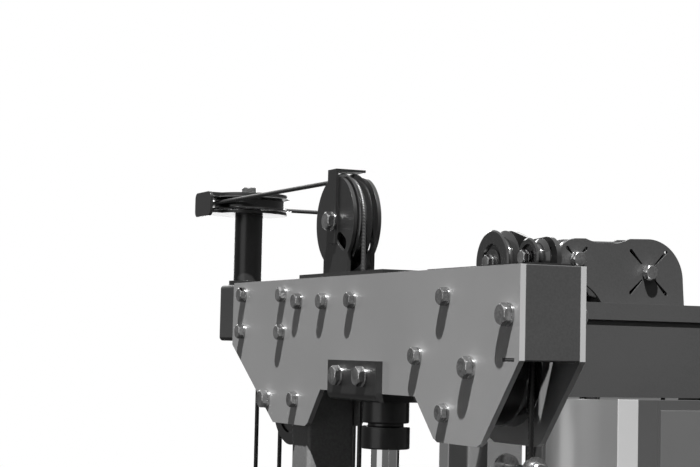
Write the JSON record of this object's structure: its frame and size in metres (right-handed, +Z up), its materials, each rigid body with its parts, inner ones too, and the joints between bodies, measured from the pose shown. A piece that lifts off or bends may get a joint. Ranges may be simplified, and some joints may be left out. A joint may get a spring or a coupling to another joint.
{
  "type": "home_gym_station",
  "caption": "Home gym station with an open pulley boom, a lat pulldown, a weight-stack tower, fly arms, a seat and a leg developer.",
  "frame": {"origin": "on the floor under the middle of the main upright", "axes": "+Z up from the floor, +X towards the weight tower, the user sits on the -Y side"},
  "size_m": [1.1169, 1.0509, 2.1306],
  "materials": {
    "plate_grey": "gloss",
    "black_coat": "satin",
    "zinc": "satin",
    "chrome": "polished",
    "pulley_black": "gloss",
    "rubber_black": "matte",
    "silver_sheet": "satin",
    "window_clear": "gloss",
    "placard_dark": "satin",
    "weights_black": "satin",
    "pin_red": "gloss",
    "pad_leather": "satin",
    "cable_black": "satin"
  },
  "bodies": {
    "frame": {"boom_plate_left": "plate_grey", "boom_plate_right": "plate_grey", "boom_tube": "black_coat", "end_cover": "black_coat", "boom_bolts": "zinc", "pivot_bracket": "black_coat", "column_collar": "black_coat", "swivel_column": "chrome", "horizontal_yoke": "black_coat", "vertical_yoke": "black_coat", "small_bracket": "black_coat", "cross_beam": "black_coat", "tower_bracket": "black_coat", "pulley_bolts": "zinc", "pulley_brackets": "black_coat", "main_upright": "black_coat", "base_beam": "black_coat", "base_rails": "black_coat", "rubber_feet": "rubber_black", "tower_posts": "black_coat", "tower_front_shroud": "silver_sheet", "tower_side_windows": "window_clear", "tower_rear_shroud": "silver_sheet", "placard": "placard_dark", "guide_rods": "chrome", "stack_lower": "weights_black", "pad_frames": "black_coat", "back_pad": "pad_leather", "cables_fixed": "cable_black", "lat_cable_drop": "cable_black", "stack_cable_drop": "cable_black", "block_cables_upper": "cable_black", "block_cables_lower": "cable_black"},
    "stack": {"stack_upper": "weights_black"},
    "pin": {"selector_pin": "pin_red"},
    "lat": {"lat_yoke": "zinc", "lat_bar": "chrome"},
    "block": {"floating_block": "zinc", "block_cable_turns": "cable_black"},
    "block_upper_wheel": {"block_pulley_upper": "pulley_black"},
    "block_lower_wheel": {"block_pulley_lower": "pulley_black"},
    "lat_wheel": {"lat_pulley": "pulley_black"},
    "rear_wheel": {"rear_pulley": "pulley_black"},
    "tower_large_wheel": {"tower_pulley_large": "pulley_black"},
    "tower_small_wheel": {"tower_pulley_small": "pulley_black"},
    "base_tower_wheel": {"base_pulley_tower": "pulley_black"},
    "base_rear_wheel": {"base_pulley_rear": "pulley_black"},
    "vertical_wheel": {"vertical_pulley": "pulley_black"},
    "horizontal_wheel": {"horizontal_pulley": "pulley_black"},
    "turning_wheel": {"turning_pulley": "pulley_black"},
    "nose_front_wheel": {"small_pulley_front": "pulley_black"},
    "nose_rear_wheel": {"small_pulley_rear": "pulley_black"},
    "seat": {"seat_post": "chrome", "seat_pad": "pad_leather"},
    "fly_left": {"fly_arm_left": "black_coat", "fly_pad_left": "rubber_black"},
    "fly_right": {"fly_arm_right": "black_coat", "fly_pad_right": "rubber_black"},
    "leg": {"leg_developer": "black_coat", "leg_rollers": "rubber_black"}
  },
  "joints": [
    {"name": "stack_lift", "type": "slide", "parent": "frame", "child": "stack", "axis": [0, 0, 1], "range_m": [0, 0.48], "deforming": ["stack_cable_drop"]},
    {"name": "lat_pull", "type": "slide", "parent": "frame", "child": "lat", "axis": [0, 0, -1], "range_m": [0, 0.48], "deforming": ["lat_cable_drop"]},
    {"name": "block_lift", "type": "slide", "parent": "frame", "child": "block", "axis": [0, 0, 1], "range_m": [0, 0.24], "deforming": ["block_cables_upper", "block_cables_lower"]},
    {"name": "pin_pull", "type": "slide", "parent": "stack", "child": "pin", "axis": [0, -1, 0], "range_m": [0, 0.09]},
    {"name": "lat_wheel_spin", "type": "hinge", "parent": "frame", "child": "lat_wheel", "pos_m": [0.004, -0.428, 1.902], "axis": [1, 0, 0], "continuous": true},
    {"name": "rear_wheel_spin", "type": "hinge", "parent": "frame", "child": "rear_wheel", "pos_m": [0.004, 0.093, 1.854], "axis": [1, 0, 0], "continuous": true},
    {"name": "tower_large_spin", "type": "hinge", "parent": "frame", "child": "tower_large_wheel", "pos_m": [0.346, -0.156, 2.017], "axis": [0, 1, 0], "continuous": true},
    {"name": "tower_small_spin", "type": "hinge", "parent": "frame", "child": "tower_small_wheel", "pos_m": [0.245, -0.156, 2.029], "axis": [0, 1, 0], "continuous": true},
    {"name": "base_tower_spin", "type": "hinge", "parent": "frame", "child": "base_tower_wheel", "pos_m": [0.20122, -0.12383, 0.135], "axis": [-0.8042, -0.5944, 0], "continuous": true},
    {"name": "base_rear_spin", "type": "hinge", "parent": "frame", "child": "base_rear_wheel", "pos_m": [0.02778, 0.11083, 0.135], "axis": [-0.8042, -0.5944, 0], "continuous": true},
    {"name": "block_upper_spin", "type": "hinge", "parent": "block", "child": "block_upper_wheel", "pos_m": [0.004, 0.183, 1.01], "axis": [1, 0, 0], "continuous": true},
    {"name": "block_lower_spin", "type": "hinge", "parent": "block", "child": "block_lower_wheel", "pos_m": [0.004, 0.183, 0.9], "axis": [1, 0, 0], "continuous": true},
    {"name": "vertical_wheel_spin", "type": "hinge", "parent": "frame", "child": "vertical_wheel", "pos_m": [-0.005, -0.064, 2.066], "axis": [1, 0, 0], "continuous": true},
    {"name": "horizontal_wheel_spin", "type": "hinge", "parent": "frame", "child": "horizontal_wheel", "pos_m": [0, 0.26, 2.107], "axis": [0, 0, 1], "continuous": true},
    {"name": "turning_wheel_spin", "type": "hinge", "parent": "frame", "child": "turning_wheel", "pos_m": [0.16, 0.31, 2.081], "axis": [0, 1, 0], "continuous": true},
    {"name": "nose_front_spin", "type": "hinge", "parent": "frame", "child": "nose_front_wheel", "pos_m": [0, -0.486, 2.008], "axis": [1, 0, 0], "continuous": true},
    {"name": "nose_rear_spin", "type": "hinge", "parent": "frame", "child": "nose_rear_wheel", "pos_m": [0, -0.417, 2.006], "axis": [1, 0, 0], "continuous": true},
    {"name": "seat_height", "type": "slide", "parent": "frame", "child": "seat", "axis": [0, 0, 1], "range_m": [0, 0.075]},
    {"name": "fly_left_swing", "type": "hinge", "parent": "frame", "child": "fly_left", "pos_m": [0, -0.171, 1.5], "axis": [0, 0, 1], "range_deg": [0, 40]},
    {"name": "fly_right_swing", "type": "hinge", "parent": "frame", "child": "fly_right", "pos_m": [0, -0.171, 1.5], "axis": [0, 0, 1], "range_deg": [-40, 0]},
    {"name": "leg_swing", "type": "hinge", "parent": "frame", "child": "leg", "pos_m": [0, -0.66, 0.345], "axis": [-1, 0, 0], "range_deg": [0, 80]}
  ],
  "couplings": [
    {"joint": "lat_pull", "follows": "stack_lift", "ratio": 1},
    {"joint": "block_lift", "follows": "stack_lift", "ratio": 0.5},
    {"joint": "lat_wheel_spin", "follows": "stack_lift", "rad_per_m": 20},
    {"joint": "rear_wheel_spin", "follows": "stack_lift", "rad_per_m": 20},
    {"joint": "tower_large_spin", "follows": "stack_lift", "rad_per_m": -29.412},
    {"joint": "tower_small_spin", "follows": "stack_lift", "rad_per_m": -50},
    {"joint": "base_tower_spin", "follows": "stack_lift", "rad_per_m": -25},
    {"joint": "base_rear_spin", "follows": "stack_lift", "rad_per_m": -25},
    {"joint": "block_upper_spin", "follows": "stack_lift", "rad_per_m": -12.5},
    {"joint": "block_lower_spin", "follows": "stack_lift", "rad_per_m": 12.5},
    {"joint": "horizontal_wheel_spin", "follows": "vertical_wheel_spin", "ratio": 1},
    {"joint": "turning_wheel_spin", "follows": "vertical_wheel_spin", "ratio": 1.9231},
    {"joint": "fly_right_swing", "follows": "fly_left_swing", "ratio": -1}
  ]
}
